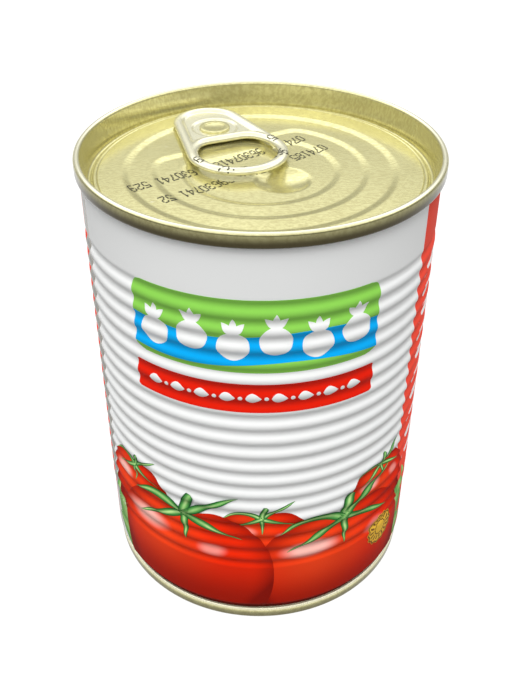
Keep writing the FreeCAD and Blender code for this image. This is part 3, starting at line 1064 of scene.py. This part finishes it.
def rolled_edge(name, path, half_width, half_height, middle_z, sides=20):
    """Closed bar that follows a path, wider than it is high."""
    path = np.array(path)
    ahead = np.roll(path, -1, axis=0) - np.roll(path, 1, axis=0)
    ahead /= np.linalg.norm(ahead, axis=1)[:, None]
    aside = np.stack([ahead[:, 1], -ahead[:, 0]], axis=1)
    points = []
    for centre, normal in zip(path, aside):
        for step in range(sides):
            angle = FULL_TURN * step / sides
            out = half_width * math.cos(angle)
            points.append((*(centre + normal * out), middle_z + half_height * math.sin(angle)))
    faces = grid_faces(len(path), sides, True)
    last = (len(path) - 1) * sides
    faces += [(last + s, last + (s + 1) % sides, (s + 1) % sides, s) for s in range(sides)]
    return clean(new_mesh(name, points, faces))


def slab(name, outline, low, high):
    """Upright-sided solid over an outline."""
    mesh = new_mesh(name)
    with edited(mesh) as solid:
        face = solid.faces.new([solid.verts.new((x, y, low)) for x, y in outline])
        grown = bmesh.ops.extrude_face_region(solid, geom=[face])["geom"]
        for vert in of_kind(grown, bmesh.types.BMVert):
            vert.co.z = high
        bmesh.ops.recalc_face_normals(solid, faces=solid.faces)
    return mesh


def cut_from(piece, cutter_mesh):
    cutter = new_piece("cutter", cutter_mesh)
    modifier = piece.modifiers.new("Cut", "BOOLEAN")
    modifier.operation, modifier.solver, modifier.object = "DIFFERENCE", "EXACT", cutter
    made_plain(piece)
    bpy.data.objects.remove(cutter)
    bpy.data.meshes.remove(cutter_mesh)


class TIN_OT_ring_pull(bpy.types.Operator):
    """Pull tab: rolled edge all round, plate under the rivet and a finger hole"""
    bl_idname = "tin.ring_pull"
    bl_label = "Ring pull"

    def execute(self, context):
        tab = sizes("tab")
        half = tab.ring_width / 2
        low, high = TAB_LOW.z, TAB_HIGH.z
        middle, half_height = (low + high) / 2, (high - low) / 2
        plate_low, plate_top = tab_levels()
        plate_high = plate_top + tab.collar_depth
        plate = new_piece("plate", slab("plate", tab_outline(0.8 * MM), plate_low, plate_high))
        cut_from(plate, slab("hole", hole_outline(0.6 * MM), low - MM, high + MM))
        collar = bow((0, 0), tab.collar_radius, 0, FULL_TURN * 63 / 64, 64)
        cut_from(plate, slab("collar", collar, plate_top, high + MM))
        edges = [rolled_edge("edge", outline(half), half, half_height, middle)
                 for outline in (tab_outline, hole_outline)]
        whole = joined("ring_pull_tab", [plate.data.copy(), *edges])
        bpy.data.objects.remove(plate)
        piece = new_piece("ring_pull_tab", whole)
        remesh = piece.modifiers.new("Skin", "REMESH")
        remesh.mode, remesh.voxel_size = "VOXEL", tab.voxel
        soften = piece.modifiers.new("Soften", "SMOOTH")
        soften.factor, soften.iterations = 0.5, 4
        made_plain(piece)
        turn_back = sizes("ends").rivet_angle - math.pi + tab.twist
        piece.data.transform(Matrix.Translation(rivet_centre().to_3d())
                             @ Matrix.Rotation(turn_back, 4, "Z"))
        lacquer = lacquer_material("Tab lacquer", sizes("colours").tab, TAB_DEEP,
                                   roughness=0.2, metallic=0.7)
        finish_piece(piece, sharp=180, nodes=("ring_pull",), material=lacquer)
        return {"FINISHED"}


# ---------------------------------------------------------------- stamped digits

# Rows of each digit, seven from the top down and five dots wide
DIGITS = ("01110 10001 10001 10001 10001 10001 01110", "00100 01100 00100 00100 00100 00100 01110",
          "01110 10001 00001 00110 01000 10000 11111", "01110 10001 00001 00110 00001 10001 01110",
          "00010 00110 01010 10010 11111 00010 00010", "11111 10000 11110 00001 00001 10001 01110",
          "01110 10000 10000 11110 10001 10001 01110", "11111 00001 00010 00100 00100 01000 01000",
          "01110 10001 10001 01110 10001 10001 01110", "01110 10001 10001 01111 00001 00001 01110")
DIGIT_PITCH = 1.6                    # from one digit to the next, in millimetres
DOT_ACROSS, DOT_DOWN = 0.27, 0.43    # from one dot to the next along a row and down a column
# Each row: how many places, where its middle lies in millimetres, and its turn.
DIGIT_ROWS = ((28, (-8.6, 2.7), 217.3), (27, (-2.9, -2.0), 219.0))


class TIN_OT_digits(bpy.types.Operator):
    """Two rows of stamped running digits, made of dots that lie on the end and the tab"""
    bl_idname = "tin.digits"
    bl_label = "Stamped digits"

    def execute(self, context):
        surfaces = []
        for name in ("top_end_lid", "ring_pull_tab"):
            mesh = bpy.data.objects[name].data
            surfaces.append(BVHTree.FromPolygons([v.co for v in mesh.vertices],
                                                 [p.vertices for p in mesh.polygons]))
        points, facings = [], []
        for row in DIGIT_ROWS:
            for x, y in self.row_points(*row):
                start = Vector((x, y, TOP_HIGH.z + MM))
                hits = [tree.ray_cast(start, Vector((0, 0, -1))) for tree in surfaces]
                place, facing = max(((h[0], h[1]) for h in hits if h[0]),
                                    key=lambda hit: hit[0].z)
                points.append(place)
                facings.append(facing if facing.z > 0 else -facing)
        mesh = new_mesh("stamped_digits", points)
        attribute = mesh.attributes.new("facing", "FLOAT_VECTOR", "POINT")
        attribute.data.foreach_set("vector", [c for f in facings for c in f])
        ink = ink_material("Stamping ink", sizes("colours").ink, shade=0.2, matt=True)
        piece = through_tree(new_piece("stamped_digits", mesh), TREES["dots"], {
            "Dot Radius": 0.20 * MM, "Dot Height": 0.03 * MM, "Sides": 8, "Material": ink})
        finish_piece(piece, sharp=40, material=ink)
        return {"FINISHED"}

    def row_points(self, count, middle, degrees):
        """Places of a row's dots. Every ninth place is left empty, from the seventh on."""
        angle = math.radians(degrees)
        along = Vector((math.cos(angle), math.sin(angle)))
        upward = Vector((-along.y, along.x))
        corner = Vector(middle) - along * DIGIT_PITCH * count / 2 + upward * 3 * DOT_DOWN
        for index in (i for i in range(count) if i % 9 != 6):
            for row, dots in enumerate(DIGITS[index * 7 % 10].split()):
                for column in (c for c, dot in enumerate(dots) if dot == "1"):
                    across = index * DIGIT_PITCH + column * DOT_ACROSS
                    yield (corner + (along * across - upward * row * DOT_DOWN)) * MM


# ---------------------------------------------------------------- print

class TIN_OT_panel_print(bpy.types.Operator):
    """Green and blue panel with plain white fruit signs, and the red band below it"""
    bl_idname = "tin.panel_print"
    bl_label = "Panel and band"

    # Left, right, low and high edge of each field
    GREEN = (-26.7, 24.6, 73.9, 90.7)
    BLUE = (-26.7, 24.6, 75.2, 83.5)
    BAND = (-27.0, 24.5, 64.4, 71.4)
    SIGNS, SIGN_PITCH, SIGN_RADIUS = 6, 8.2, 3.2
    MARKS, MARK_PITCH, MARK_HEIGHT = 9, 5.2, 67.9

    def execute(self, context):
        colours = sizes("colours")
        white = ink_material("White ink", colours.white)
        green, blue, red = (ink_material(name.title() + " ink", getattr(colours, name))
                            for name in ("green", "blue", "red"))
        blue_block = block(*self.BLUE, top=lambda x: 82.6 + 0.9 * math.sin(x / 7.5),
                           bottom=lambda x: 75.9 + 0.7 * math.sin(x / 7.5 + 0.6))
        printed("panel_green", [block(*self.GREEN, corner=2.4)], green, layer=1)
        printed("panel_blue", [blue_block], blue, layer=2)
        printed("panel_signs", self.signs(), white, layer=3)
        printed("red_band", [block(*self.BAND, corner=0.8)], red, layer=1)
        printed("band_marks", self.marks(), white, layer=2)
        return {"FINISHED"}

    def signs(self):
        """Round fruits with three blades each, one up and one down in turn."""
        sheets = []
        for index in range(self.SIGNS):
            x = self.GREEN[0] + 5.2 + index * self.SIGN_PITCH
            y = 80.6 + (0.9 if index % 2 else -0.5)
            sheets.append(disc(x, y, self.SIGN_RADIUS))
            for lean in (-1, 0, 1):
                sheets.append(leaf((x, y + 2.9), (x + 2.2 * lean, y + 6.2 - abs(lean)), 1.5))
        return sheets

    def marks(self):
        """Lozenges with a dot between each two."""
        y, sheets = self.MARK_HEIGHT, []
        for index in range(self.MARKS):
            x = -22.0 + index * self.MARK_PITCH
            sheets.append(leaf((x - 1.6, y), (x + 1.6, y), 2.3))
            if index < self.MARKS - 1:
                sheets.append(disc(x + self.MARK_PITCH / 2, y, 0.45))
        return sheets


class TIN_OT_fruit_print(bpy.types.Operator):
    """Printed tomatoes with their stalks"""
    bl_idname = "tin.fruit_print"
    bl_label = "Tomatoes"

    # Each fruit: name, middle, half width, half height, hollow at the stalk, layer, light.
    FRUITS = (("back_left", -32.0, 28.5, 11.5, 12.0, 1.6, 2, (-0.3, 0.3)),
              ("back_middle", 0.5, 25.0, 12.0, 11.5, 1.6, 2, (-0.3, 0.3)),
              ("back_right", 31.0, 29.5, 10.5, 12.0, 1.5, 4, (-0.2, 0.35)),
              ("front_right", 20.0, 13.5, 22.0, 20.0, 3.0, 6, (-0.25, 0.35)),
              ("front_left", -17.5, 15.5, 21.0, 20.5, 3.2, 8, (-0.4, 0.35)))
    FLOOR = 3.3                 # where the print ends above the lower seam
    ROUNDNESS = 2.25            # 2 is an ellipse, and more is squarer
    # Each blade: its middle and its tip, across and up, as shares of the fruit's half width.
    BLADES = ((-0.62, 0.55, -0.70, -0.05), (-0.34, -0.18, -0.62, -0.50),
              (0.06, -0.30, 0.02, -0.62), (0.36, -0.12, 0.66, -0.36), (0.48, 0.50, 0.62, 0.62))

    def execute(self, context):
        colours = sizes("colours")
        stalk_green = foliage_material("Stalk print", colours.sepal, colours.sepal_deep,
                                       colours.sepal_light)
        for name, x, y, wide, tall, dip, layer, light in self.FRUITS:
            flesh = fruit_material("Tomato print " + name, *light)
            outline = fruit(x, y, wide, tall, dip, self.ROUNDNESS, self.FLOOR)
            printed("tomato_" + name, [outline], flesh, layer)
            crown = y + tall - dip - 0.8
            printed("stalk_" + name, self.stalk(x, crown, wide), stalk_green, layer + 1)
        return {"FINISHED"}

    def stalk(self, x, y, wide):
        """Five long curling blades and the short stem."""
        sheets = []
        for middle_x, middle_y, end_x, end_y in self.BLADES:
            points = ((x, y), (x + middle_x * wide * 0.6, y + middle_y * wide * 0.45),
                      (x + end_x * wide, y + end_y * wide * 0.62))
            sheets.append(ribbon(points, wide * 0.17))
        stem = ((x, y - 0.3), (x + 0.4, y + wide * 0.16), (x + wide * 0.10, y + wide * 0.30))
        return sheets + [ribbon(stem, wide * 0.13, taper=0.15, blunt=0.6)]


class TIN_OT_leaf_print(bpy.types.Operator):
    """Printed leaves at both ends of the tomatoes, and the plain gold seal"""
    bl_idname = "tin.leaf_print"
    bl_label = "Leaves and seal"

    # Each leaf: stalk end, tip, width and bend.
    LEAVES = (((-31.0, 8.0), (-44.0, 26.0), 11.0, -2.0), ((-30.0, 6.5), (-45.5, 11.5), 9.0, 1.5),
              ((35.0, 10.0), (46.0, 27.5), 9.0, 1.5), ((35.0, 7.0), (48.0, 10.0), 9.0, -1.0))

    def execute(self, context):
        colours = sizes("colours")
        green = foliage_material("Leaf print", colours.leaf, colours.sepal,
                                 colours.sepal_light, veins=7.0)
        seal = disc(33.0, 17.5, 4.6, lobes=14, lobe_depth=0.05)
        printed("leaves", [leaf(*entry) for entry in self.LEAVES], green, layer=1)
        printed("gold_seal", [seal], seal_material(), layer=10)
        return {"FINISHED"}


class TIN_OT_back_print(bpy.types.Operator):
    """Plain ruled lines on the red side, and a white field with ruled bars behind"""
    bl_idname = "tin.back_print"
    bl_label = "Back field"

    def execute(self, context):
        white = ink_material("Back white ink", sizes("colours").white)
        grey = ink_material("Back grey ink", BAR_GREY)
        printed("back_field", [block(84.0, 136.0, 26.0, 86.0, corner=3.0)], white, layer=1)
        bars = self.rules(87.0, 80.0, count=14, pitch=3.86, height=0.9, corner=0.4,
                          reaches=(30.0, 46.0, 46.0, 46.0, 46.0))
        printed("back_bars", bars, grey, layer=2)
        lines = self.rules(43.5, 84.0, count=24, pitch=2.3, height=0.6, corner=0.25,
                           reaches=(20.0, 27.0, 23.0, 16.0))
        printed("side_lines", lines, white, layer=2)
        return {"FINISHED"}

    def rules(self, left, top, count, pitch, height, corner, reaches):
        """Bars one below another, whose lengths repeat in turn."""
        bars = []
        for index in range(count):
            low = top - index * pitch
            reach = reaches[index % len(reaches)]
            bars.append(block(left, left + reach, low, low + height, corner))
        return bars


# ---------------------------------------------------------------- stage

class TIN_OT_stage(bpy.types.Operator):
    """Pale floor, one soft lamp, world and the camera above the tin's front"""
    bl_idname = "tin.stage"
    bl_label = "Stage"

    def execute(self, context):
        scene = context.scene
        scene.view_settings.view_transform = "Standard"
        self.floor()
        self.world(scene)
        self.lamp("Front", place=(-0.04, -0.42, 1.1), aim=(0, 0, 0.05), size=0.5, power=9.4)
        self.camera(scene)
        return {"FINISHED"}

    def floor(self):
        """Large grey floor that looks white to the camera and in reflections."""
        half = 4.0
        corners = [(-half, -half, 0), (half, -half, 0), (half, half, 0), (-half, half, 0)]
        floor = new_piece("floor", new_mesh("floor", corners, [(0, 1, 2, 3)]))
        made, nodes, inputs = material("Floor")
        inputs["Roughness"].default_value = 0.8
        inputs["Specular IOR Level"].default_value = 0.1
        inputs["Base Color"].default_value = (0.2, 0.2, 0.2, 1)
        seen, mirrored, through = (nodes.add("ShaderNodeLightPath", output=kind) for kind in (
            "Is Camera Ray", "Is Glossy Ray", "Is Transmission Ray"))
        white = nodes.larger(seen, nodes.larger(mirrored, through))
        nodes.put(inputs["Emission Strength"], white * 0.82)
        inputs["Emission Color"].default_value = (1, 1, 1, 1)
        floor.data.materials.append(made)

    def world(self, scene):
        """Sky dim near the horizon, brightest half-way up and a little dimmer on the right.

        The camera sees it plain white.
        """
        scene.world = bpy.data.worlds.new("Studio")
        scene.world.use_nodes = True
        nodes = Nodes(scene.world.node_tree)
        nodes.tree.nodes.clear()
        across, _, up = nodes.parts(nodes.add("ShaderNodeTexCoord", output="Generated"))
        level = nodes.between(up, 0.33, 0.62, 0.26, 1.78)
        level = level * nodes.between(across, -0.3, 0.6, 1.05, 0.97)
        level = level * nodes.between(up, 0.62, 0.92, 1.0, 0.55)
        seen = nodes.add("ShaderNodeLightPath", output="Is Camera Ray")
        sky = nodes.add("ShaderNodeBackground", {"Color": (1, 1, 1, 1),
                                                 "Strength": nodes.larger(level, seen)})
        nodes.add("ShaderNodeOutputWorld", {"Surface": sky})

    def lamp(self, name, place, aim, size, power):
        """Round lamp that lights the tin but isn't mirrored in it."""
        light = bpy.data.lights.new(name, "AREA")
        light.shape, light.size, light.energy = "DISK", size, power
        lamp = new_piece(name, light)
        lamp.visible_glossy = False
        lamp.location = place
        lamp.rotation_euler = (Vector(place) - Vector(aim)).to_track_quat("Z", "Y").to_euler()

    def camera(self, scene):
        """Looks down on the front from two hands' breadths away."""
        tilt, roll = math.radians(35.64), math.radians(0.29)
        distance, aim = 212.5 * MM, Vector((0, 0, 55 * MM))
        data = bpy.data.cameras.new("Camera")
        data.lens, data.sensor_width = 46.83, 36.0
        data.shift_x, data.shift_y = -0.0026, -0.0038
        data.clip_start = 0.01
        camera = new_piece("Camera", data)
        camera.location = aim + distance * Vector((0, -math.cos(tilt), math.sin(tilt)))
        turned = Matrix.Rotation(math.pi / 2 - tilt, 4, "X") @ Matrix.Rotation(roll, 4, "Z")
        camera.rotation_euler = turned.to_euler()
        scene.camera = camera


# ---------------------------------------------------------------- add-on

PIECES = (TIN_OT_wall, TIN_OT_top_end, TIN_OT_bottom_end, TIN_OT_ring_pull, TIN_OT_digits,
          TIN_OT_panel_print, TIN_OT_fruit_print, TIN_OT_leaf_print, TIN_OT_back_print,
          TIN_OT_stage)
GROUPS = (("wall", TinWallSizes), ("ends", TinEndSizes), ("tab", TinTabSizes),
          ("colours", TinColours))
TREES = {}


class TIN_PT_panel(bpy.types.Panel):
    """Lists the pieces of the tin and the sizes that shape them"""
    bl_idname = "TIN_PT_panel"
    bl_label = "Food tin"
    bl_space_type = "VIEW_3D"
    bl_region_type = "UI"
    bl_category = "Tin"

    def draw(self, context):
        for piece in PIECES:
            self.layout.operator(piece.bl_idname, text=piece.bl_label)
        for name, kind in GROUPS:
            box = self.layout.box()
            for field in kind.__annotations__:
                box.prop(getattr(context.scene, "tin_" + name), field)


def register():
    for kind in [group for _, group in GROUPS] + list(PIECES) + [TIN_PT_panel]:
        bpy.utils.register_class(kind)
    for name, kind in GROUPS:
        setattr(bpy.types.Scene, "tin_" + name, PointerProperty(type=kind))


def unregister():
    for name, _ in GROUPS:
        delattr(bpy.types.Scene, "tin_" + name)
    for kind in [TIN_PT_panel] + list(PIECES) + [group for _, group in GROUPS]:
        bpy.utils.unregister_class(kind)


def main():
    register()
    TREES["wall"] = wall_tree()
    TREES["dots"] = dots_tree()
    for piece in PIECES:
        family, name = piece.bl_idname.split(".")
        getattr(getattr(bpy.ops, family), name)()


if __name__ == "__main__":
    main()
